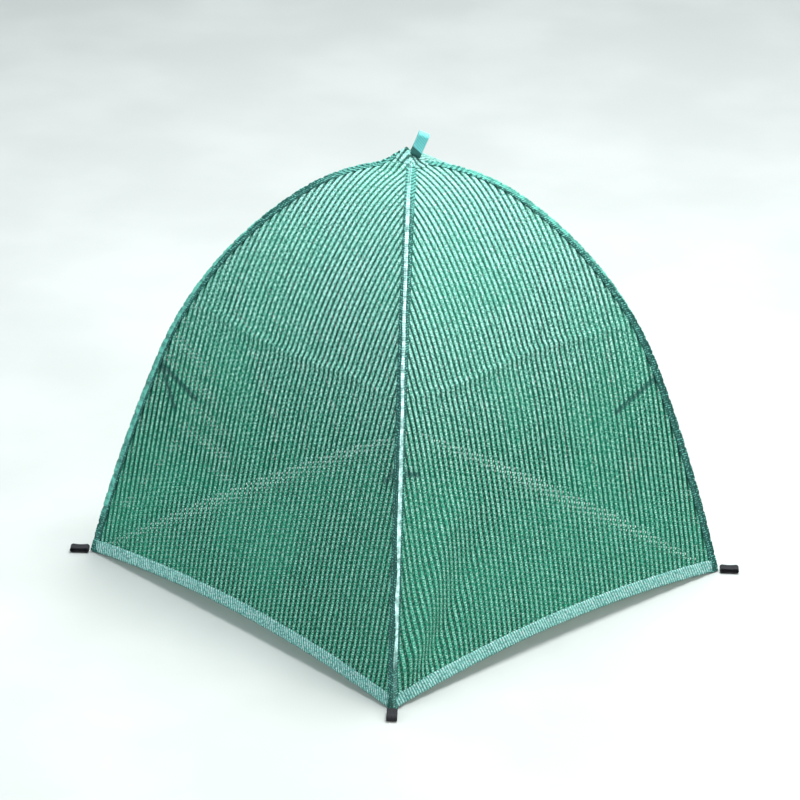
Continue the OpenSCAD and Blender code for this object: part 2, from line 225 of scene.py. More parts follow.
knitFinish = {
    "gap": (0.0005, 0.045, 0.026, 1),     # shaded thread beside the holes
    "thread": (0.024, 0.440, 0.260, 1),
    "crestEdge": (0.14, 0.40),            # where a wale turns dark on its way to the gap
    "crest": (0.560, 0.980, 0.880, 1),    # painted highlight on the loops where they catch the sky
    "flecksPerCourse": 2.0,
    "fleckSlant": 0.7,
    "fleckLong": (0.05, 0.30),
    "fleckWide": (0.06, 0.32),
    "uneven": 210.0,                      # how fine the patches of painted highlight are, per metre
    "unevenEdge": (0.34, 0.60, 0.10),
    "skyLitTop": (0.480, 0.930, 0.860, 1),    # painted sky light: the cloth is lighter near the top, where it faces the sky
    "skyLitHeights": (0.26, 0.66),
    "skyLitEdge": (0.12, 0.40),
    "skyLitMost": 0.72,
    "skyLitInGap": 0.06,
    "cloudy": 6.0,                        # wide patches that keep more of the thread's colour
    "cloudEdge": (0.40, 0.70),
    "cloudMost": 0.30,
    "grain": 430.0,                       # glints of the tape, per metre
    "pit": (0.0005, 0.045, 0.026, 1),     # specks of shade between its loops
    "pitEdge": (0.38, 0.50),
    "pitMost": 0.62,
    "glint": (0.700, 1.000, 0.930, 1),
    "glintEdge": (0.53, 0.62),
    "glintOnWale": (0.10, 0.38),
    "glintHeights": (0.05, 0.50),
    "glintMost": 0.85,
    "glintAtFoot": 0.48,
    "shaded": (0.003, 0.060, 0.058, 1),   # painted shade where a dark ribbon lies against the inside
    "shadedMost": 0.72,
    "legSlant": 1.2,                      # each loop's two legs, and the tape's own fibres
    "legBump": 0.5,
    "fibre": 1400.0,
    "fibreBump": 0.4,
    "bumpHeight": 0.6 * mm,
    "lightThrough": 0.34,
}
hemFinish = dict(
    knitFinish, gap=(0.080, 0.420, 0.380, 1), thread=(0.480, 0.940, 0.860, 1),
    crest=(0.900, 1.000, 1.000, 1), skyLitTop=(0.520, 0.900, 0.870, 1), grain=340.0, pit=(0.030, 0.200, 0.180, 1),
    glint=(1.000, 1.000, 1.000, 1), glintAtFoot=1.0,
)
ridgeFinish = {
    "flat": (0.004, 0.070, 0.055, 1),     # doubled cloth beside the roll, in its own shade
    "dots": (0.160, 0.520, 0.440, 1),
    "dotGrain": 300.0,
    "dotEdge": (0.50, 0.62),
    "cellEdge": (-0.2, 0.8),
    # painted highlight along the rolled ridge, dimmer at the stitches, the puckered top and the foot
    "roll": (0.640, 0.980, 0.930, 1),
    "rollAtTop": -0.50,                   # the roll leans over to one side, and to the other lower down
    "rollAtFoot": 0.75,
    "leansFrom": 15.0,
    "leansTo": 85.0,
    "rollHalf": 0.62,                     # half the width of the painted highlight on the roll, in units of 4 mm
    "rollEdge": (0.12, 0.06),             # how softly it ends, inside and outside that width
    "band": 1.07,                         # a pucker every so many courses
    "bandSlant": 0.30,
    "bandEdge": (-0.3, 0.5),
    "bandMost": 0.7,
    "puckeredFor": 15.0,                  # the puckered part at the top, in courses
    "puckeredLeast": 0.35,
    "notchEvery": 3.733,                  # a stitch catches the roll down, in courses
    "notchAt": 0.125,
    "notchEdge": (0.04, 0.16),
    "notchShade": 0.62,
    "wearAndHighlightGrain": 90.0,
    "wearAndHighlightEdge": (0.40, 0.60),
    "highlightLeast": 0.42,
    "endsBefore": 108.0,                  # the roll flattens out this many courses down
    "endsOver": 4.0,
    "endsLeast": 0.1,
    "fibre": 1200.0,
    "bumpHeight": 0.4 * mm,
}


def makeKnit(name, look):
    f = Finish(name, 0.55, 0.22, 0.05)
    wale, course = f.mapped()
    side = f.maths("PINGPONG", wale, 0.5)             # 0 on a wale, 0.5 between two
    column = f.maths("ROUND", wale)
    stagger = f.maths("FRACT", f.maths("MULTIPLY", column, 0.5))
    step = f.maths("ADD", course, stagger)
    slanted = f.maths("ADD", step, f.maths("MULTIPLY", side, look["fleckSlant"]))
    loop = f.maths("PINGPONG", f.maths("MULTIPLY", slanted, look["flecksPerCourse"]), 0.5)
    crest = f.ramp(side, *look["crestEdge"], 1.0, 0.0)
    fleckLong = f.ramp(loop, *look["fleckLong"], 1.0, 0.0)
    fleck = f.maths("MULTIPLY", fleckLong, f.ramp(side, *look["fleckWide"], 1.0, 0.0))
    uneven = f.noise(look["uneven"], 2.0)
    cloudy = f.noise(look["cloudy"], 3.0)
    base = f.blend(crest, look["gap"], look["thread"])
    # painted highlights: pale flecks on the loops, in patches
    lit = f.blend(f.maths("MULTIPLY", fleck, f.ramp(uneven, *look["unevenEdge"], 1.0)), base, look["crest"])
    # painted sky light, stronger higher up and weaker in the gaps
    skyLitShare = f.ramp(f.height(), *look["skyLitHeights"], 0.0, look["skyLitMost"])
    skyLitShare = f.maths("MULTIPLY", skyLitShare, f.ramp(side, *look["skyLitEdge"], 1.0, look["skyLitInGap"]))
    skyLitTop = f.blend(skyLitShare, lit, look["skyLitTop"])
    final = f.blend(f.ramp(cloudy, *look["cloudEdge"], 0.0, look["cloudMost"]), skyLitTop, look["thread"])
    speckle = f.noise(look["grain"], 2.0)
    final = f.blend(f.ramp(speckle, *look["pitEdge"], look["pitMost"], 0.0), final, look["pit"])
    onWale = f.ramp(side, *look["glintOnWale"], 1.0, 0.0)
    glinting = f.maths("MULTIPLY", f.ramp(speckle, *look["glintEdge"], 0.0, look["glintMost"]), onWale)
    upward = f.ramp(f.height(), *look["glintHeights"], look["glintAtFoot"], 1.0)
    final = f.blend(f.maths("MULTIPLY", glinting, upward), final, look["glint"])
    # painted shade where a ribbon lies behind the cloth
    behind = f.maths("MULTIPLY", f.attribute("ribbonBehind"), look["shadedMost"])
    final = f.blend(behind, final, look["shaded"])
    f.put(f.shader.inputs["Base Color"], final)
    # two slanting legs of every loop, and the fine tape it is knitted from
    legStep = f.maths("ADD", step, f.maths("MULTIPLY", side, look["legSlant"]))
    leg = f.maths("MULTIPLY", f.maths("SINE", f.maths("MULTIPLY", legStep, 4 * math.pi)), look["legBump"])
    fibre = f.maths("MULTIPLY", f.noise(look["fibre"], 2.0), look["fibreBump"])
    f.bump(f.maths("ADD", leg, fibre), look["bumpHeight"])
    f.glow(final, look["lightThrough"])
    return f.material


# Across a seam clothMap runs in units of 4 mm from its middle, and down it in courses
def makeRolledSeam(name, look):
    f = Finish(name, 0.55, 0.22, 0.05)
    across, down = f.mapped()
    leans = f.ramp(down, look["leansFrom"], look["leansTo"], look["rollAtTop"], look["rollAtFoot"])
    aside = f.maths("ABSOLUTE", f.maths("SUBTRACT", across, leans))
    uneven = f.noise(look["dotGrain"], 2.0)
    cell = f.maths("SINE", f.maths("MULTIPLY", down, 4 * math.pi))
    dots = f.maths("MULTIPLY", f.ramp(uneven, *look["dotEdge"]), f.ramp(cell, *look["cellEdge"]))
    flat = f.blend(dots, look["flat"], look["dots"])
    inside, outside = look["rollEdge"]
    roll = f.ramp(aside, look["rollHalf"] - inside, look["rollHalf"] + outside, 1.0, 0.0)
    # the roll's painted highlight, in patches, dimmed at each stitch, at the puckered top and where the roll
    # flattens out
    wearAndHighlight = f.ramp(f.noise(look["wearAndHighlightGrain"], 3.0), *look["wearAndHighlightEdge"], look["highlightLeast"], 1.0)
    catch = f.maths("FRACT", f.maths("DIVIDE", down, look["notchEvery"]))
    fromStitch = f.maths("ABSOLUTE", f.maths("SUBTRACT", catch, look["notchAt"]))
    wearAndHighlight = f.maths("MULTIPLY", wearAndHighlight, f.ramp(fromStitch, *look["notchEdge"], look["notchShade"], 1.0))
    puckered = look["puckeredFor"]
    wearAndHighlight = f.maths("MULTIPLY", wearAndHighlight, f.ramp(down, puckered * 0.6, puckered, look["puckeredLeast"], 1.0))
    ends = look["endsBefore"]
    wearAndHighlight = f.maths("MULTIPLY", wearAndHighlight, f.ramp(down, ends, ends + look["endsOver"], 1.0, look["endsLeast"]))
    # painted light and shade across the puckers near the top
    slantDown = f.maths("ADD", down, f.maths("MULTIPLY", across, look["bandSlant"]))
    band = f.maths("SINE", f.maths("MULTIPLY", slantDown, 2 * math.pi / look["band"]))
    banded = f.ramp(down, puckered * 0.8, puckered * 1.4, look["bandMost"], 0.0)
    flat = f.blend(f.maths("MULTIPLY", f.ramp(band, *look["bandEdge"]), banded), flat, look["dots"])
    final = f.blend(f.maths("MULTIPLY", roll, wearAndHighlight), flat, look["roll"])
    f.put(f.shader.inputs["Base Color"], final)
    f.bump(f.maths("ADD", cell, f.noise(look["fibre"], 2.0)), look["bumpHeight"], 0.9)
    return f.material


webbingFinish = {
    "pitch": 1.0,              # millimetres from one weft to the next
    "bumpHeight": 0.3 * mm,
    "ridgeEdge": (0.08, 0.4),
    "wearAndHighlightGrain": 160.0,
    "wearAndHighlightEdge": (0.45, 0.75),
    "wornMost": 0.35,
    "weftBump": 0.25,
}


# Webbing and ribbon: clothMap runs in ribs across and in millimetres along
def makeWebbing(name, dark, light, roughness, shadedFoot=None):
    s = webbingFinish
    f = Finish(name, roughness, 0.22, 0.04)
    rib, along = f.mapped()
    ridge = f.maths("PINGPONG", rib, 0.5)
    weft = f.maths("SINE", f.maths("MULTIPLY", along, 2 * math.pi / s["pitch"]))
    wearAndHighlight = f.noise(s["wearAndHighlightGrain"], 3.0)
    colour = f.blend(f.ramp(ridge, *s["ridgeEdge"], 0.0, 1.0), dark, light)
    colour = f.blend(f.ramp(wearAndHighlight, *s["wearAndHighlightEdge"], 0.0, s["wornMost"]), colour, light)
    # painted shade on the loop's lower part, its underside in shadow
    if shadedFoot:
        slanted = f.maths("ADD", along, f.maths("MULTIPLY", rib, shadedFoot["slant"]))
        reach = f.ramp(slanted, shadedFoot["length"] - 1.0, shadedFoot["length"] + 1.0, 0.85, 0.0)
        colour = f.blend(reach, colour, shadedFoot["colour"])
    f.put(f.shader.inputs["Base Color"], colour)
    f.bump(f.maths("ADD", ridge, f.maths("MULTIPLY", weft, s["weftBump"])), s["bumpHeight"], 0.8)
    return f.material


def makeHardFinish(name, dark, light, roughness, specular, metallic, scale, stretch=1.0):
    f = Finish(name, roughness, specular, 0.0, metallic)
    squeeze = f.tree.nodes.new("ShaderNodeMapping")
    squeeze.inputs["Scale"].default_value = (1.0, 1.0, stretch)
    f.put(squeeze.inputs["Vector"], f.place)
    streak = f.noise(scale, 4.0, squeeze.outputs[0])
    colour = f.blend(f.ramp(streak, 0.35, 0.7), dark, light)
    f.put(f.shader.inputs["Base Color"], colour)
    f.put(f.shader.inputs["Roughness"], f.ramp(streak, 0.3, 0.7, roughness - 0.08, roughness + 0.08))
    f.bump(streak, 0.0001, 0.4)
    return f.material


knitCloth = makeKnit("knittedShadeCloth", knitFinish)
gatheredCloth = makeKnit("gatheredCrownCloth", dict(knitFinish, thread=(0.10, 0.40, 0.33, 1)))
hemCloth = makeKnit("foldedHemCloth", hemFinish)
# the front seam's roll has a bright painted highlight, the other seams a dimmer painted one
frontSeamCloth = makeRolledSeam("frontSeamCloth", ridgeFinish)
seamCloth = makeRolledSeam("rolledSeamCloth", dict(ridgeFinish, roll=(0.130, 0.500, 0.400, 1)))
threadFinish = makeHardFinish(
    "greenThread", (0.06, 0.34, 0.26, 1), (0.30, 0.68, 0.60, 1), 0.55, 0.4, 0.0, 900.0
)
darkWebbing = makeWebbing("charcoalWebbing", (0.004, 0.004, 0.005, 1), (0.024, 0.023, 0.027, 1), 0.8)
tieRibbon = makeWebbing("darkTieRibbon", (0.006, 0.018, 0.016, 1), (0.022, 0.062, 0.056, 1), 0.7)
# the carrying loop's lower part gets painted shade
loopWebbing = makeWebbing(
    "greenWebbing", (0.050, 0.330, 0.310, 1), (0.220, 0.660, 0.660, 1), 0.42,
    {"colour": (0.001, 0.030, 0.020, 1), "length": 10.5, "slant": 0.8},
)
print("finishes mixed")

# The rib curve: three arcs from the crown to a corner

domeShape = {
    "side": 0.700,
    "height": 0.676,
    "crownRadius": 0.293,
    "slopes": (0.0, 35.3, 69.0, 76.0),    # where the arcs meet, in degrees
    "samples": 600,
}


def ribCurve(firstRadius, top, footOut, footUp, samples=domeShape["samples"]):
    a = [math.radians(s) for s in domeShape["slopes"]]
    run = [math.sin(a[k + 1]) - math.sin(a[k]) for k in range(3)]
    fall = [math.cos(a[k]) - math.cos(a[k + 1]) for k in range(3)]
    outLeft = footOut - firstRadius * run[0]
    downLeft = top - footUp - firstRadius * fall[0]
    det = run[1] * fall[2] - run[2] * fall[1]
    radii = [
        firstRadius,
        (outLeft * fall[2] - downLeft * run[2]) / det,
        (downLeft * run[1] - outLeft * fall[1]) / det,
    ]
    out, up, slope = [0.0], [top], [0.0]
    for k in range(3):
        startOut, startUp = out[-1], up[-1]
        for s in np.linspace(a[k], a[k + 1], samples + 1)[1:]:
            out.append(startOut + radii[k] * (math.sin(s) - math.sin(a[k])))
            up.append(startUp - radii[k] * (math.cos(a[k]) - math.cos(s)))
            slope.append(s)
    return np.array(out), np.array(up), np.array(slope)


corner = domeShape["side"] / math.sqrt(2)
ribOut, ribUp, ribSlope = ribCurve(domeShape["crownRadius"], domeShape["height"], corner, 0.0)
ribLength = np.concatenate([[0], np.cumsum(np.hypot(np.diff(ribOut), np.diff(ribUp)))])
# A panel's own profile, half-way between its ribs
panelOut = ribOut / math.sqrt(2)
panelLength = np.concatenate([[0], np.cumsum(np.hypot(np.diff(panelOut), np.diff(ribUp)))])
panelNormalOut = np.sin(ribSlope)
panelNormalUp = np.cos(ribSlope) / math.sqrt(2)
normalSize = np.hypot(panelNormalOut, panelNormalUp)
panelNormalOut, panelNormalUp = panelNormalOut / normalSize, panelNormalUp / normalSize

panelTurns = {"front_left": 225, "front_right": 315, "back_right": 45, "back_left": 135}
ribTurns = {"front": 270, "right": 0, "back": 90, "left": 180}

# Panels

panelShape = {
    "wale": 10.0 * mm,         # distance between two knitted columns
    "course": 7.5 * mm,        # length of one loop
    "columns": (0.0, 0.22, 0.42, 0.58, 0.78),    # where the mesh is cut across one wale
    "relief": (1.0, 0.55, 0.0, 0.0, 0.55),       # how far each cut stands up
    "reliefHeight": 1.1 * mm,
    "loopDip": 0.45,           # how much lower a wale is between two loops
    "holePinch": 0.04,         # a hole is narrower at its ends, in wales
    "holeBelly": 0.01,         # and wider at its middle
    "holeSlant": 0.04,
    "under": 1.3 * mm,         # the cloth's base lies this far under the outside
    "seamTuck": 9.0 * mm,      # the cloth ends this far from the rib, under the seam
    "hemTuck": 12.0 * mm,      # and this far above the arch, behind the hem
    "crownTuck": 0.016,
    "archRise": 0.022,
}

foldLines = {
    # (from along, from up, to along, to up, width, height), in metres
    "front_left": [
        (0.330, 0.030, 0.120, 0.150, 0.016, -0.0026),
        (-0.325, 0.020, -0.180, 0.160, 0.018, 0.0030),
        (-0.10, 0.035, -0.06, 0.20, 0.020, 0.0018),
    ],
    "front_right": [
        (-0.330, 0.020, -0.185, 0.250, 0.024, 0.0130),
        (-0.285, 0.010, -0.130, 0.215, 0.020, -0.0090),
        (0.190, 0.020, 0.205, 0.090, 0.007, 0.0035),
        (0.325, 0.020, 0.200, 0.150, 0.016, 0.0022),
    ],
    "back_right": [
        (-0.330, 0.020, -0.170, 0.190, 0.015, 0.0040),
        (0.320, 0.020, 0.190, 0.170, 0.015, 0.0035),
    ],
    "back_left": [
        (-0.325, 0.020, -0.190, 0.150, 0.014, 0.0035),
        (0.330, 0.020, 0.160, 0.200, 0.015, 0.0045),
    ],
}

drapeShape = {
    "sag": 4.5 * mm,            # the cloth pulls in between two ribs
    "creaseUp": 0.430,          # packing crease right round the cover
    "creaseWidth": 0.007,
    "creaseHeight": 3.0 * mm,
    "creaseWander": 4.0 * mm,
    "creaseTurns": 19,
    "waves": 1.5 * mm,
    "waveSize": 0.17,
    "foldsFrom": 0.018,         # folds start above the hem and are full this much higher
    "foldsOver": 0.055,
    "foldFade": 0.7,            # how much of a fold is gone at its far end
}


# Height of the arch that each foot edge makes between two corners
def archUp(along):
    half = domeShape["side"] / 2
    rise = panelShape["archRise"]
    radius = (half * half + rise * rise) / (2 * rise)
    return np.maximum(rise - radius + np.sqrt(np.maximum(radius * radius - along * along, 0)), 0)


crownLift = {
    "height": 20.0 * mm,       # the bunched cloth stands up beside the loop
    "at": -9.0 * mm,
    "back": 2.0 * mm,
    "wide": 40.0 * mm,
    "steepRight": 2.2,         # it falls away sooner on the loop's side
    "hollow": 1.15,            # and is a little hollow all round
}


# Where a point so far out and so far along stands, seen from above, on a side turned this way
def turnedTo(turn, out, along):
    return out * math.cos(turn) - along * math.sin(turn), out * math.sin(turn) + along * math.cos(turn)


# How far the bunching at the top raises the cloth at each point
def bunched(x, y):
    beside = x - crownLift["at"]
    beside = np.where(beside > 0, beside * crownLift["steepRight"], beside)
    away = np.hypot(beside, y - crownLift["back"])
    return crownLift["height"] * np.maximum(0.0, 1 - away / crownLift["wide"]) ** crownLift["hollow"]


# How far the cloth hangs out from the plain vault at each point
def drape(which, along, up, half):
    s = drapeShape
    share = np.clip(1 - (along / half) ** 2, 0, 1)
    level = np.clip(up / domeShape["height"], 0, 1)
    offset = -s["sag"] * share * np.sin(math.pi * level) ** 0.7
    waves = softWaves(along, up, s["waveSize"], panelTurns[which])
    offset = offset + s["waves"] * waves * share
    wander = s["creaseWander"] * np.sin(along * s["creaseTurns"] + panelTurns[which])
    crease = np.exp(-(((up - s["creaseUp"] - wander) / s["creaseWidth"]) ** 2))
    offset = offset + s["creaseHeight"] * crease * np.sqrt(share)
    clearOfHem = np.clip((up - s["foldsFrom"]) / s["foldsOver"], 0, 1)
    for startAlong, startUp, endAlong, endUp, width, height in foldLines[which]:
        dx, dz = endAlong - startAlong, endUp - startUp
        t = np.clip(((along - startAlong) * dx + (up - startUp) * dz) / (dx * dx + dz * dz), 0, 1)
        away = np.hypot(along - startAlong - t * dx, up - startUp - t * dz)
        strength = (1 - s["foldFade"] * t) * np.minimum(share * 6, 1) * clearOfHem
        offset = offset + height * np.exp(-((away / width) ** 2)) * strength
    return offset


# Points of one panel, given the way along, the way down its profile and how far out of the cloth
def onPanel(which, along, down, outwards):
    turn = math.radians(panelTurns[which])
    out = np.interp(down, panelLength, panelOut)
    up = np.interp(down, panelLength, ribUp)
    half = np.maximum(out, 1e-6)
    offset = drape(which, along, up, half) + outwards
    out = out + np.interp(down, panelLength, panelNormalOut) * offset
    up = up + np.interp(down, panelLength, panelNormalUp) * offset
    x, y = turnedTo(turn, out, along)
    return np.stack([x, y, up + bunched(x, y)], -1)


# The way down the profile to a height
def downTo(up):
    return np.interp(-up, -ribUp, panelLength)


def makePanel(which):
    s = panelShape
    wales = int(domeShape["side"] / s["wale"]) // 2 + 1
    cuts = [(w, k) for w in range(-wales, wales + 1) for k in range(len(s["columns"]))]
    columns = [(w + s["columns"][k]) * s["wale"] for w, k in cuts]
    quarter = s["course"] / 4
    firstRow = int(downTo(domeShape["height"] - 0.5 * mm) / quarter)
    rows = np.arange(firstRow, int(panelLength[-1] / quarter) + 2)
    along, down = np.meshgrid(columns, rows * quarter)
    waleOf, number = np.meshgrid([w for w, k in cuts], rows)
    partOf = np.array([k for w, k in cuts])[None, :] + np.zeros_like(number)
    # the holes open between parts 2 and 3, half a course lower on every other wale
    phase = (number + 2 * (waleOf % 2)) % 4
    ends = (phase == 0) | (phase == 2)
    pinch = np.where(phase == 1, -s["holeBelly"], np.where(ends, s["holePinch"], 0.0))
    lean = np.where(phase == 0, s["holeSlant"], np.where(phase == 2, -s["holeSlant"], 0.0))
    along = along + np.where(partOf == 2, (pinch + lean) * s["wale"], 0)
    along = along + np.where(partOf == 3, (lean - pinch) * s["wale"], 0)
    dip = np.where(phase == 0, 1.0, np.where(phase == 2, 1 - s["loopDip"], 1 - s["loopDip"] / 2))
    stand = np.array(s["relief"])[partOf] * dip * s["reliefHeight"]
    # trim to the ribs, the crown and the hem
    out = np.interp(down, panelLength, panelOut)
    edge = np.maximum(out - s["seamTuck"], 0.0)
    limit = downTo(archUp(along) + s["hemTuck"])
    outside = np.where(along < -edge, -1, np.where(along > edge, 1, 0))
    beyond = down > limit
    inCrown = out < s["crownTuck"]
    alongIn = np.clip(along, -edge, edge)
    downIn = np.minimum(down, limit)
    points = onPanel(which, alongIn, downIn, stand - s["under"]).reshape(-1, 3)
    uv = np.stack([alongIn / s["wale"], downIn / s["course"]], -1).reshape(-1, 2)
    cols = len(columns)
    faces = []
    for j in range(len(rows) - 1):
        for i in range(cols - 1):
            quad = ((j, i), (j + 1, i), (j + 1, i + 1), (j, i + 1))
            sides = [outside[q] for q in quad]
            if all(t == -1 for t in sides) or all(t == 1 for t in sides):
                continue
            if all(beyond[q] for q in quad) or all(inCrown[q] for q in quad):
                continue
            inside = not any(sides) and not any(beyond[q] for q in quad)
            if inside and partOf[j, i] == 2 and phase[j, i] in (0, 1):
                continue
            faces.append([r * cols + c for r, c in quad])
    return addPiece(
        "shade_panel_" + which, points, faces, ["panel_" + which], knitCloth,
        uv=uv, weld=0.02 * mm
    )


panels = {which: makePanel(which) for which in panelTurns}
print("four knitted panels", [len(p.data.polygons) for p in panels.values()])

# Hems

hemShape = {
    "width": 0.020,
    "thick": 1.6 * mm,
    "stretch": 2.2 * mm,       # mesh step along the band
    "across": 10,
    "ripple": 0.6 * mm,
    "rippleSize": 0.034,
    "slant": 1.6,              # its wales cross the fold at a slant, in wales
    "stitchRows": (0.0035, 0.0165),
    "stitchLong": 4.2 * mm,
    "stitchGap": 2.4 * mm,
    "stitchOut": 0.55,         # the thread lies this share of the band's thickness out
    "threadThick": 0.26 * mm,
    "above": 0.8 * mm,         # the fold hangs this far over the arch
    "endGap": 9.0 * mm,        # band and stitches stop this far before each corner
    "stitchEndGap": 12.0 * mm,
    "waleRelief": 0.12 * mm,
    "rippleOut": 0.8,
}


# A flattened tube of cloth: section points as (share across, share out of the cloth)
def foldedSection(count):
    front = [(k / count, math.sin(math.pi * k / count) ** 0.35 * 0.5) for k in range(count + 1)]
    back = [(k / count, -math.sin(math.pi * k / count) ** 0.35 * 0.5) for k in range(count - 1, 0, -1)]
    return front + back


def hemPoint(which, along, share, outwards):
    s = hemShape
    up = archUp(along) + s["above"] + share * s["width"]
    ripple = s["ripple"] * np.sin(along * 2 * math.pi / s["rippleSize"] + 3 * share + panelTurns[which])
    ripple = ripple + s["ripple"] * softWaves(along, up, 0.06, panelTurns[which] + 7)
    return onPanel(which, along, downTo(up), outwards + ripple * s["rippleOut"])


def makeHem(which):
    s = hemShape
    half = domeShape["side"] / 2 - s["endGap"]
    along = np.arange(-half, half, s["stretch"])
    section = foldedSection(s["across"])
    a = np.repeat(along[:, None], len(section), 1)
    share = np.array([p[0] for p in section])[None, :] + np.zeros_like(a)
    thick = np.array([p[1] for p in section])[None, :] + np.zeros_like(a)
    rib = s["waleRelief"] * np.cos(a * 2 * math.pi / panelShape["wale"]) * np.sign(thick)
    points = hemPoint(which, a, share, thick * s["thick"] + rib).reshape(-1, 3)
    uv = np.stack([a / (0.5 * panelShape["wale"]) + share * s["slant"], share * 4.0], -1).reshape(-1, 2)
    cols = len(section)
    faces = gridFaces(len(along), cols, around=True)
    faces.append(list(range(cols)))
    faces.append([(len(along) - 1) * cols + k for k in reversed(range(cols))])
    return addPiece("hem_band_" + which, points, faces, ["hem_" + which], hemCloth, uv=uv)


# One stitch is a short six-sided bead of thread between two points
# Its rings are given as (share along, share of the thickness)
beadRings = ((0.0, 0.25), (0.2, 1.0), (0.8, 1.0), (1.0, 0.25))
beadSides = 6


def stitchMesh(pairs, thick, outwards):
    verts, faces = [], []
    for start, end in pairs:
        heading = (end - start).normalized()
        side = heading.cross(outwards).normalized()
        rise = side.cross(heading)
        first = len(verts)
        for share, fat in beadRings:
            middle = start.lerp(end, share)
            for k in range(beadSides):
                angle = 2 * math.pi * k / beadSides
                verts.append(middle + (side * math.cos(angle) + rise * math.sin(angle)) * thick * fat)
        last = first + (len(beadRings) - 1) * beadSides
        for ring in range(first, last, beadSides):
            for k in range(beadSides):
                a, b = ring + k, ring + (k + 1) % beadSides
                faces.append((a, b, b + beadSides, a + beadSides))
        faces.append([first + k for k in reversed(range(beadSides))])
        faces.append([last + k for k in range(beadSides)])
    return verts, faces


def makeHemStitches(which):
    s = hemShape
    turn = math.radians(panelTurns[which])
    half = domeShape["side"] / 2 - s["stitchEndGap"]
    starts = np.arange(-half, half - s["stitchLong"], s["stitchLong"] + s["stitchGap"])
    pairs = []
    for level in s["stitchRows"]:
        share = np.full_like(starts, level / s["width"])
        first = hemPoint(which, starts, share, s["thick"] * s["stitchOut"])
        last = hemPoint(which, starts + s["stitchLong"], share, s["thick"] * s["stitchOut"])
        pairs += [(Vector(p), Vector(q)) for p, q in zip(first, last)]
    verts, faces = stitchMesh(pairs, s["threadThick"], Vector((math.cos(turn), math.sin(turn), 0.2)))
    return addPiece("hem_stitches_" + which, verts, faces, [], threadFinish)


hems = {which: makeHem(which) for which in panelTurns}
hemStitches = {which: makeHemStitches(which) for which in panelTurns}
print("hems folded and stitched")

# Rib seams

seamShape = {
    "half": 8.0 * mm,          # half the strip's width
    "ridge": 1.9 * mm,         # radius of the rolled ridge
    "step": 1.8 * mm,
    "thick": 0.9 * mm,
    "lift": 0.5 * mm,          # the strip lies this far above the panels
    "puckerSize": 8.0 * mm,    # short folds across the strip
    "pucker": 0.55 * mm,
    "puckerLeast": 0.45,       # how tight they are low down, and how much tighter at the top
    "puckerExtra": 0.75,
    "puckerFade": 0.30,
    "puckerTurns": 31,
    "beside": 0.45,            # share of the puckers that the strip beside the roll has
    "notchSize": 0.028,        # the roll is caught down by a stitch every so often
    "notchHalf": 3.5 * mm,
    "notch": 0.55,
    "notchWander": 4.0 * mm,
    "notchTurns": 23,
    "wander": 0.9 * mm,
    "wanderTurns": (41, 17),
    "soft": 1.6 * mm,          # the roll bends over the rib instead of being creased
    "crownReach": 0.020,       # it starts this far out, under the gathered patch
    "floorGap": 0.4 * mm,
}


def seamSection():
    s = seamShape
    angles = np.linspace(0, math.pi, 9)
    ridge = [(s["ridge"] * math.cos(t), s["ridge"] * (0.25 + math.sin(t))) for t in angles]
    flat = [(s["half"], 0.0), (s["half"] * 0.75, 0.1 * mm), (s["half"] * 0.5, 0.1 * mm)]
    outer = flat + ridge + [(-y, rise) for y, rise in reversed(flat)]
    inner = [(y, -s["thick"]) for y in np.linspace(-s["half"], s["half"], 9)]
    return outer, inner


def makeSeam(side):
    s = seamShape
    turn = math.radians(ribTurns[side])
    seed = ribTurns[side]
    start = np.interp(s["crownReach"], ribOut, ribLength)
    rows = np.arange(start, ribLength[-1], s["step"])
    outer, inner = seamSection()
    section = outer + inner
    cols = len(section)
    y = np.array([p[0] for p in section])[None, :] + np.zeros((len(rows), 1))
    rise = np.array([p[1] for p in section])[None, :] + np.zeros((len(rows), 1))
    isOuter = (np.arange(cols) < len(outer))[None, :] + np.zeros((len(rows), 1))
    onRidge = np.exp(-((y / (s["ridge"] * 1.2)) ** 4)) * isOuter
    length = rows[:, None] + np.zeros_like(y)
    # puckers cross the strip, tightest near the top
    tight = s["puckerLeast"] + s["puckerExtra"] * np.exp(-length / s["puckerFade"])
    pucker = np.sin(length * 2 * math.pi / s["puckerSize"] + 1.5 * np.sin(length * s["puckerTurns"] + seed))
    rise = rise + s["pucker"] * tight * pucker * (s["beside"] + (1 - s["beside"]) * onRidge) * isOuter
    stitchAt = np.mod(length + s["notchWander"] * np.sin(length * s["notchTurns"] + seed), s["notchSize"])
    catch = np.exp(-((stitchAt / s["notchHalf"] - 1) ** 2))
    rise = rise - s["notch"] * s["ridge"] * catch * onRidge
    quick, slow = s["wanderTurns"]
    wander = np.sin(length * quick + 2 * np.sin(length * slow) + seed)
    yMoved = y + s["wander"] * (0.3 + length / ribLength[-1]) * wander * onRidge
    out = np.interp(length, ribLength, ribOut)
    up = np.interp(length, ribLength, ribUp)
    slope = np.interp(length, ribLength, ribSlope)
    soften = np.sqrt(yMoved * yMoved + s["soft"] ** 2) - s["soft"]
    fall = np.abs(yMoved) * (1 - onRidge) + soften * onRidge
    outwards = rise + s["lift"]
    radial = out - fall + np.sin(slope) * outwards
    upper = np.maximum(up + np.cos(slope) * outwards, s["floorGap"])
    x, yWorld = turnedTo(turn, radial, yMoved)
    points = np.stack([x, yWorld, upper + bunched(x, yWorld)], -1).reshape(-1, 3)
    uv = np.stack([y / 4.0 / mm, length / panelShape["course"]], -1).reshape(-1, 2)
    faces = [tuple(reversed(f)) for f in gridFaces(len(rows), cols, around=True)]
    faces.append(list(range(cols)))
    faces.append([(len(rows) - 1) * cols + k for k in reversed(range(cols))])
    return addPiece(
        "rib_seam_" + side, points, faces, ["seam_" + side],
        frontSeamCloth if side == "front" else seamCloth, uv=uv
    )


seamStitchShape = {
    "aside": 5.3 * mm, "long": 3.4 * mm, "gap": 2.6 * mm, "thick": 0.24 * mm, "above": 1.1 * mm,
    "from": 0.045,             # the rows run from under the gathers to just before the corner
    "endGap": 12.0 * mm,
}


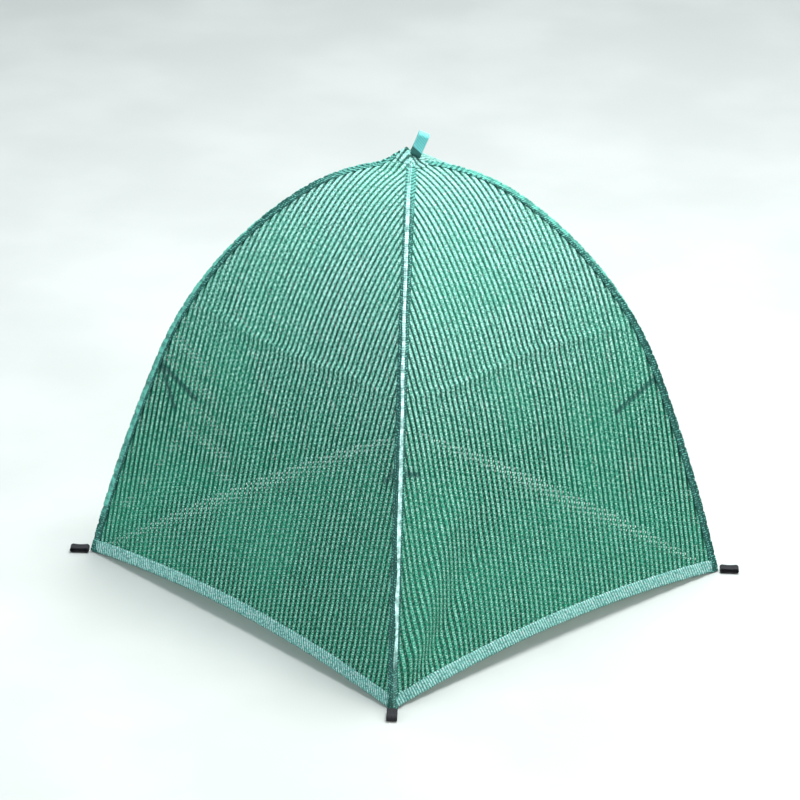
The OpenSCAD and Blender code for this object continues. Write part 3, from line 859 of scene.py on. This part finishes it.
def makeSeamStitches(side):
    s = seamStitchShape
    turn = math.radians(ribTurns[side])
    spots = np.arange(s["from"], ribLength[-1] - s["endGap"], s["long"] + s["gap"])
    pairs = []
    for y in (-s["aside"], s["aside"]):
        ends = []
        for length in (spots, spots + s["long"]):
            slope = np.interp(length, ribLength, ribSlope)
            radial = np.interp(length, ribLength, ribOut) - abs(y) + np.sin(slope) * s["above"]
            up = np.interp(length, ribLength, ribUp) + np.cos(slope) * s["above"]
            ends.append(np.stack([*turnedTo(turn, radial, y), up], -1))
        pairs += [(Vector(p), Vector(q)) for p, q in zip(*ends)]
    verts, faces = stitchMesh(pairs, s["thick"], Vector((math.cos(turn), math.sin(turn), 0.3)))
    return addPiece("seam_stitches_" + side, verts, faces, [], threadFinish)


seams = {side: makeSeam(side) for side in ribTurns}
seamStitches = {side: makeSeamStitches(side) for side in ribTurns}
print("rib seams rolled")

# Crown: where the four panels are gathered

crownShape = {
    "radius": 0.026,
    "gather": 3.0 * mm,
    "pleats": 15,
    "pleatDepth": 0.7 * mm,
    "rings": 16,
    "spokes": 180,
    "thick": 1.4 * mm,
    "above": 0.9 * mm,         # its outside lies this far over the ribs' own line
    "twist": 0.3,
    "waleRelief": 0.35,
}


def makeCrown():
    s = crownShape
    top, under, uv = [], [], []
    for ring in range(s["rings"] + 1):
        share = max(ring / s["rings"], 0.02)
        for spoke in range(s["spokes"]):
            angle = 2 * math.pi * spoke / s["spokes"]
            squareness = 1 / (abs(math.cos(angle)) + abs(math.sin(angle)))
            reach = s["radius"] * share * (1 + 0.10 * (squareness - 0.8))
            x, y = reach * math.cos(angle), reach * math.sin(angle)
            base = float(np.interp(abs(x) + abs(y), ribOut, ribUp))
            bunch = s["gather"] * (0.5 + 0.5 * math.cos(math.pi * min(share * 1.1, 1))) ** 1.3
            bunch += float(bunched(x, y))
            twist = angle + s["twist"] * (1 - share)
            pleat = s["pleatDepth"] * math.sin(s["pleats"] * twist + 0.8 * math.sin(3 * angle))
            pleat *= math.sin(math.pi * min(share + 0.12, 1)) ** 0.8
            # the wales run on from the panels
            out, along = (abs(x) + abs(y)) / math.sqrt(2), (abs(x) - abs(y)) / math.sqrt(2)
            wale = along / panelShape["wale"]
            relief = s["waleRelief"] * panelShape["reliefHeight"] * math.cos(2 * math.pi * wale)
            z = base + bunch + pleat + relief + s["above"]
            top.append((x, y, z))
            under.append((x, y, z - s["thick"]))
            uv.append((wale, float(np.interp(out, panelOut, panelLength)) / panelShape["course"]))
    cols = s["spokes"]
    rows = s["rings"] + 1
    count = rows * cols
    faces = gridFaces(rows, cols, around=True)
    below = [tuple(count + k for k in reversed(f)) for f in faces]
    rim = []
    for k in range(cols):
        n = (k + 1) % cols
        a, b = (rows - 1) * cols + k, (rows - 1) * cols + n
        rim.append((a, a + count, b + count, b))
    lids = [tuple(range(cols)), tuple(count + k for k in reversed(range(cols)))]
    return addPiece(
        "crown_gather", top + under, faces + below + rim + lids, ["crown_patch"], gatheredCloth,
        uv=uv + uv
    )


crown = makeCrown()
print("crown gathered")

# Webbing and ribbon


# A ribbed band along a path: middle points, the way across at each, and how thick it is
def bandMesh(path, across, width, thick, ribs, ribHeight, closed):
    path = np.asarray(path, float)
    across = np.asarray(across, float)
    count = len(path)
    if closed:
        heading = np.roll(path, -1, 0) - np.roll(path, 1, 0)
        gaps = np.linalg.norm(np.roll(path, -1, 0) - path, axis=1)
        travelled = np.concatenate([[0], np.cumsum(gaps)[:-1]])
    else:
        heading = np.gradient(path, axis=0)
        travelled = np.concatenate([[0], np.cumsum(np.linalg.norm(np.diff(path, axis=0), axis=1))])
    heading /= np.linalg.norm(heading, axis=1)[:, None]
    outward = np.cross(heading, across)
    outward /= np.linalg.norm(outward, axis=1)[:, None]
    steps = ribs * 4           # four steps to each rib
    section = []
    for face in (1, -1):
        for k in range(steps + 1) if face > 0 else range(steps, -1, -1):
            share = k / steps
            edge = min(1.0, math.sin(math.pi * share) * 5 + 0.35)
            groove = ribHeight * (0.5 + 0.5 * math.cos(2 * math.pi * share * ribs + math.pi))
            section.append(((share - 0.5) * width, face * (thick / 2 + groove) * edge, share * ribs))
    verts, uv = [], []
    for p, a, o, t in zip(path, across, outward, travelled):
        for offset, rise, rib in section:
            verts.append(p + a * offset + o * rise)
            uv.append((rib, t / mm))
    faces = gridFaces(count, len(section), around=True, along=closed)
    if not closed:
        faces.append(tuple(reversed(range(len(section)))))
        faces.append(tuple((count - 1) * len(section) + k for k in range(len(section))))
    return verts, faces, uv


# Middle line of a flat loop: round at both ends, first end centred on the origin, in its own X and Z
def loopPath(length, space, thick, pinch):
    radius = (space + thick) / 2
    reach = length - 2 * (space / 2 + thick)
    steps = np.linspace(0, 1, 14, endpoint=False)
    farTurn = [math.radians(90 - 180 * t) for t in steps]
    nearTurn = [math.radians(270 - 180 * t) for t in steps]
    line = [(reach * t, radius) for t in steps]
    line += [(reach + radius * math.cos(angle), radius * math.sin(angle)) for angle in farTurn]
    line += [(reach * (1 - t), -radius) for t in steps]
    line += [(radius * math.cos(angle), radius * math.sin(angle)) for angle in nearTurn]
    line = np.array(line)
    belly = np.sin(math.pi * np.clip(line[:, 0] / reach, 0, 1))
    line[:, 1] *= 1 - pinch * belly
    return line


def hingePoint(joint):
    found = [j for j in frame["record"]["behaviour"]["joints"] if j["name"] == joint]
    return Vector(found[0]["pos_m"])


carryingShape = {
    "length": 0.041, "space": 9.0 * mm, "thick": 1.2 * mm, "width": 0.017, "ribs": 8,
    "ribHeight": 0.18 * mm, "lean": 22.0, "pinch": 0.35, "tipBack": 4.0 * mm,
}
cornerShape = {
    "length": 0.030, "space": 6.0 * mm, "thick": 1.2 * mm, "width": 0.016, "ribs": 8,
    "ribHeight": 0.15 * mm, "pinch": 0.25,
}


def makeCarryingLoop():
    s = carryingShape
    line = loopPath(s["length"], s["space"], s["thick"], s["pinch"])
    lean = math.radians(s["lean"])
    up = Vector((math.sin(lean), 0, math.cos(lean)))
    across = Vector((math.cos(lean), 0, -math.sin(lean)))
    middle = hingePoint("carrying_loop_flop")
    path = []
    for along, aside in line:
        back = s["tipBack"] * max(along / s["length"], 0) ** 2
        path.append(middle + up * along + Vector((0, aside + back, 0)))
    verts, faces, uv = bandMesh(
        path, [across] * len(path), s["width"], s["thick"], s["ribs"], s["ribHeight"], True
    )
    # the painted shade on the foot is measured up the loop, on both faces
    uv = [(u, (Vector(v) - middle).dot(up) / mm) for (u, w), v in zip(uv, verts)]
    return addPiece(
        "webbing_carrying_loop", verts, faces, ["carrying_loop"], loopWebbing,
        body="carrying_loop", uv=uv
    )


def makeCornerLoop(side):
    s = cornerShape
    line = loopPath(s["length"], s["space"], s["thick"], s["pinch"])
    turn = math.radians(ribTurns[side])
    out = Vector((math.cos(turn), math.sin(turn), 0))
    across = Vector((-math.sin(turn), math.cos(turn), 0))
    middle = hingePoint("corner_loop_" + side + "_lift")
    path = [middle + out * along + Vector((0, 0, aside)) for along, aside in line]
    verts, faces, uv = bandMesh(
        path, [across] * len(path), s["width"], s["thick"], s["ribs"], s["ribHeight"], True
    )
    name = "corner_loop_" + side
    return addPiece(
        "webbing_" + name, verts, faces, [name], darkWebbing, body=name, uv=uv
    )


makeCarryingLoop()
for side in ribTurns:
    makeCornerLoop(side)
print("webbing loops sewn")

# The poles' own line, for what is tied or slipped onto them

poleShape = {
    "footOut": 0.48257,        # middle of a pole's foot
    "footUp": 0.007285,
    "inset": 7.232 * mm,       # pole's middle under the outside of the cover at the top
    "drop": 6.4 * mm,          # the front pole passes under the side pole
}


def poleCurve(under):
    return ribCurve(
        domeShape["crownRadius"] - under, domeShape["height"] - under,
        poleShape["footOut"], poleShape["footUp"],
    )


sidePole = poleCurve(poleShape["inset"])
frontPole = poleCurve(poleShape["inset"] + poleShape["drop"])
poleOf = {"front": frontPole, "right": sidePole, "back": frontPole, "left": sidePole}

# Corner pockets: a short sleeve of webbing round each pole tip

pocketShape = {
    "inner": 4.8 * mm, "wall": 1.2 * mm, "above": 14.0 * mm, "below": 4.4 * mm,
    "spokes": 40, "rings": 9, "ribs": 16,
}


def makePocket(side):
    s = pocketShape
    turn = math.radians(ribTurns[side])
    slope = math.radians(domeShape["slopes"][3])
    axis = Vector((-math.cos(slope) * math.cos(turn), -math.cos(slope) * math.sin(turn), math.sin(slope)))
    sideways = Vector((-math.sin(turn), math.cos(turn), 0))
    third = axis.cross(sideways)
    foot = Vector((*turnedTo(turn, poleShape["footOut"], 0), poleShape["footUp"]))
    outer = s["inner"] + s["wall"]
    floor = -s["below"] - s["wall"]
    profile = [(0.6 * mm, floor), (outer * 0.6, floor), (outer * 0.92, floor + 0.2 * mm)]
    profile.append((outer, floor + 0.9 * mm))
    for k in range(1, s["rings"]):
        profile.append((outer, floor + (s["above"] - floor) * k / s["rings"]))
    profile += [(outer, s["above"] - 0.3 * mm), (outer - 0.4 * mm, s["above"])]
    profile += [(s["inner"] + 0.2 * mm, s["above"] - 0.1 * mm), (s["inner"], s["above"] - 0.6 * mm)]
    profile += [(s["inner"], -s["below"] + 0.2 * mm), (0.6 * mm, -s["below"])]
    verts, uv = [], []
    for reach, level in profile:
        for k in range(s["spokes"]):
            angle = 2 * math.pi * k / s["spokes"]
            beside = sideways * math.cos(angle) + third * math.sin(angle)
            verts.append(foot + axis * level + beside * reach)
            uv.append((k / s["spokes"] * s["ribs"], level / mm))
    faces = gridFaces(len(profile), s["spokes"], around=True)
    faces.append(tuple(reversed(range(s["spokes"]))))
    last = (len(profile) - 1) * s["spokes"]
    faces.append(tuple(last + k for k in range(s["spokes"])))
    name = "corner_pocket_" + side
    return addPiece("webbing_" + name, verts, faces, [name], darkWebbing, uv=uv)


for side in ribTurns:
    makePocket(side)
print("corner pockets sewn")

# Ties: a dark ribbon round each pole half-way up, and one round the crossing

tieShape = {
    "up": 0.330, "width": 8.0 * mm, "thick": 0.5 * mm, "ribs": 5, "ribHeight": 0.06 * mm,
    "ringRadius": 4.5 * mm, "knot": 3.0 * mm, "curl": 1.2 * mm,
    "tailLong": 0.094, "tailTurn": 130.0,
    "tails": ((18.0, 1.0), (50.0, 0.75)),    # each tail's droop in degrees, and share of the length
}
crossingShape = {
    "ringDeep": 6.9 * mm, "ringWide": 8.7 * mm, "knotUnder": 9.6 * mm,
    "tailShare": 0.72, "splay": (-12.0, 12.0),
}
# which way round the rib each tail of a tie goes
tailSides = {"front": (1, -1), "right": (-1, 1), "back": (1, 1), "left": (1, 1)}


# A few bands joined into one mesh
def joinBands(bands):
    verts, faces, uv = [], [], []
    for bandVerts, bandFaces, bandUv in bands:
        first = len(verts)
        verts += list(bandVerts)
        faces += [tuple(first + k for k in f) for f in bandFaces]
        uv += list(bandUv)
    return verts, faces, uv


def ribbonRing(middle, axis, radiusA, radiusB, towards):
    s = tieShape
    sideways = axis.cross(towards).normalized()
    forward = sideways.cross(axis).normalized()
    count = 32
    path = []
    for k in range(count):
        angle = 2 * math.pi * k / count
        beside = forward * radiusA * math.cos(angle) + sideways * radiusB * math.sin(angle)
        path.append(middle + beside)
    return bandMesh(path, [axis] * count, s["width"], s["thick"], s["ribs"], s["ribHeight"], True)


def ribbonTail(start, heading, across, length, curl):
    s = tieShape
    normal = heading.cross(across).normalized()
    path, wide = [], []
    for t in np.linspace(0, 1, 25):
        bend = normal * curl * math.sin(2.2 * math.pi * t) * t
        path.append(start + heading * length * t + bend)
        twist = Matrix.Rotation(0.25 * math.sin(math.pi * t), 3, heading)
        wide.append(twist @ across)
    return bandMesh(path, wide, s["width"], s["thick"], s["ribs"], s["ribHeight"], False)


def makeSideTie(side):
    s = tieShape
    turn = Matrix.Rotation(math.radians(ribTurns[side]), 3, "Z")
    poleOut, poleUp, poleSlope = poleOf[side]
    out = float(np.interp(-s["up"], -poleUp, poleOut))
    slope = float(np.interp(-s["up"], -poleUp, poleSlope))
    middle = turn @ Vector((out, 0, s["up"]))
    axis = turn @ Vector((-math.cos(slope), 0, math.sin(slope)))
    inwards = turn @ Vector((-1, 0, 0))
    bands = [ribbonRing(middle, axis, s["ringRadius"], s["ringRadius"], inwards)]
    knot = middle + inwards * (s["ringRadius"] + s["knot"] / 2)
    bands.append(ribbonRing(knot, turn @ Vector((0, 1, 0)), s["knot"] * 0.55, s["knot"], inwards))
    start = knot + inwards * s["knot"] * 0.6
    for towards, (droop, share) in zip(tailSides[side], s["tails"]):
        level = Matrix.Rotation(math.radians(droop), 3, "Y")
        spin = Matrix.Rotation(math.radians(towards * s["tailTurn"]), 3, "Z")
        heading = turn @ spin @ level @ Vector((1, 0, 0))
        across = turn @ spin @ level @ Vector((0, 0, 1))
        bands.append(ribbonTail(start, heading, across, s["tailLong"] * share, s["curl"]))
    verts, faces, uv = joinBands(bands)
    return addPiece(
        "ribbon_tie_" + side, verts, faces, ["tie_" + side], tieRibbon, uv=uv
    )


def makeCrossingTie():
    s = tieShape
    c = crossingShape
    downwards = Vector((0, 0, -1))
    middle = Vector((0, 0, domeShape["height"] - poleShape["inset"] - poleShape["drop"] / 2))
    between = Matrix.Rotation(math.radians(45), 3, "Z")
    wide, deep = between @ Vector((1, 0, 0)), between @ Vector((0, 1, 0))
    bands = [ribbonRing(middle, deep, c["ringDeep"], c["ringWide"], downwards)]
    knot = middle + downwards * c["knotUnder"]
    bands.append(ribbonRing(knot, deep, s["knot"] * 0.6, s["knot"], downwards))
    for splay in c["splay"]:
        heading = Matrix.Rotation(math.radians(splay), 3, deep) @ downwards
        start = knot + downwards * s["knot"] * 0.5 + wide * 0.3 * mm * np.sign(splay)
        bands.append(ribbonTail(start, heading, deep, s["tailLong"] * c["tailShare"], s["curl"]))
    verts, faces, uv = joinBands(bands)
    return addPiece("ribbon_crossing_tie", verts, faces, ["crossing_tie"], tieRibbon, uv=uv)


for side in ribTurns:
    makeSideTie(side)
makeCrossingTie()
print("ribbons tied")

ribbonShade = {
    "tailHalf": 4.5 * mm, "knotHalf": 8.0 * mm, "aboveTail": 2.0 * mm,
    # share of a tail that lies on the cloth
    "touchesFor": {"front": 0.30, "right": 1.0, "back": 0.6, "left": 1.0},
}


# The cloth gets painted shade where a ribbon lies behind it: a value at each point of a panel, by its
# distance
def shadeRibbons(which):
    s = tieShape
    mesh = panels[which].data
    places = np.zeros(len(mesh.vertices) * 3)
    mesh.vertices.foreach_get("co", places)
    places = places.reshape(-1, 3)
    facing = math.radians(panelTurns[which])
    along = places[:, 1] * math.cos(facing) - places[:, 0] * math.sin(facing)
    up = places[:, 2]
    shade = np.zeros(len(along))
    for side in ribTurns:
        poleOut, poleUp = poleOf[side][:2]
        rib = math.radians(ribTurns[side])
        out = float(np.interp(-s["up"], -poleUp, poleOut)) - s["ringRadius"] - s["knot"]
        for towards, (droop, share) in zip(tailSides[side], s["tails"]):
            if (ribTurns[side] + 45 * towards - panelTurns[which]) % 360:
                continue
            heading = rib + math.radians(towards * s["tailTurn"])
            level = s["tailLong"] * share * math.cos(math.radians(droop))
            fallen = s["tailLong"] * share * math.sin(math.radians(droop))
            startAlong = out * math.sin(rib - facing)
            startUp = s["up"] + ribbonShade["aboveTail"]
            dx, dz = level * math.sin(heading - facing), -fallen
            t = ((along - startAlong) * dx + (up - startUp) * dz) / (dx * dx + dz * dz)
            t = np.clip(t, 0, ribbonShade["touchesFor"][side])
            away = np.hypot(along - startAlong - t * dx, up - startUp - t * dz)
            knotAway = np.hypot(along - startAlong, up - startUp)
            shade = np.maximum(shade, np.exp(-((away / ribbonShade["tailHalf"]) ** 4)))
            shade = np.maximum(shade, np.exp(-((knotAway / ribbonShade["knotHalf"]) ** 4)))
    layer = mesh.attributes.new("ribbonBehind", "FLOAT", "POINT")
    layer.data.foreach_set("value", shade.astype(np.float32))


for which in panelTurns:
    shadeRibbons(which)
print("ribbons show through")

# Hard parts keep their own shapes and get their finishes

hardFinishes = {
    "pole": makeHardFinish(
        "glassFibreRod", (0.030, 0.036, 0.034, 1), (0.075, 0.085, 0.080, 1), 0.38, 0.5, 0.0, 220.0, 0.08
    ),
    "ferrule": makeHardFinish(
        "drawnMetal", (0.42, 0.42, 0.43, 1), (0.66, 0.66, 0.67, 1), 0.34, 0.5, 1.0, 700.0, 0.1
    ),
    "pole_tip": makeHardFinish(
        "mouldedTip", (0.012, 0.012, 0.013, 1), (0.030, 0.030, 0.032, 1), 0.55, 0.4, 0.0, 900.0
    ),
    "elastic_cord": makeHardFinish(
        "elasticBraid", (0.50, 0.50, 0.47, 1), (0.82, 0.82, 0.79, 1), 0.7, 0.3, 0.0, 1500.0
    ),
}


def finishFor(node):
    if "pole_tip" in node:
        return hardFinishes["pole_tip"]
    if "ferrule" in node:
        return hardFinishes["ferrule"]
    if "elastic" in node:
        return hardFinishes["elastic_cord"]
    return hardFinishes["pole"]


for node, piece in frame["nodes"].items():
    if not piece.hide_render:
        piece.data.materials.clear()
        piece.data.materials.append(finishFor(node))
print("poles, ferrules, tips and cords finished")

# Floor and light

studio = {
    "floorSize": 24.0,
    "floorSteps": 8,
    "floorDrop": 0.6 * mm,     # clear of the corners, so that nothing flickers
    "aimUp": 0.3,
    "floorColours": ((0.44, 0.45, 0.43, 1), (0.48, 0.49, 0.47, 1)),
    "skyColour": (0.78, 0.88, 0.95, 1),
    "skyStrength": 0.58,
    "lamps": [
        # name, place, size, power, colour
        ("highSoftbox", (0.5, 0.2, 3.2), 2.4, 185.0, (0.94, 0.99, 1.0)),
        ("rightSoftbox", (2.8, -1.9, 1.9), 1.6, 62.0, (1.0, 0.98, 0.95)),
        ("leftFill", (-3.0, -1.6, 1.6), 2.2, 52.0, (0.93, 0.97, 1.0)),
        ("backRim", (0.4, 3.0, 2.2), 2.0, 30.0, (0.95, 0.98, 1.0)),
    ],
}


def makeStudio():
    half = studio["floorSize"] / 2
    line = np.linspace(-half, half, studio["floorSteps"] + 1)
    verts = [(x, y, -studio["floorDrop"]) for y in line for x in line]
    faces = [tuple(reversed(f)) for f in gridFaces(len(line), len(line))]
    mesh = bpy.data.meshes.new("studioFloor")
    mesh.from_pydata(verts, [], faces)
    floor = bpy.data.objects.new("studioFloor", mesh)
    bpy.context.scene.collection.objects.link(floor)
    mesh.materials.append(makeHardFinish("paleFloor", *studio["floorColours"], 0.85, 0.2, 0.0, 3.0))
    bpy.context.scene.view_settings.view_transform = "Standard"
    world = bpy.data.worlds.new("softSky")
    bpy.context.scene.world = world
    world.use_nodes = True
    world.node_tree.nodes["Background"].inputs[0].default_value = studio["skyColour"]
    world.node_tree.nodes["Background"].inputs[1].default_value = studio["skyStrength"]
    for name, place, size, power, colour in studio["lamps"]:
        data = bpy.data.lights.new(name, "AREA")
        data.shape = "DISK"
        data.size = size
        data.energy = power
        data.color = colour
        lamp = bpy.data.objects.new(name, data)
        bpy.context.scene.collection.objects.link(lamp)
        lamp.location = place
        aim = Vector((0, 0, studio["aimUp"])) - Vector(place)
        lamp.rotation_euler = aim.to_track_quat("-Z", "Y").to_euler()


makeStudio()
print("studio lit")
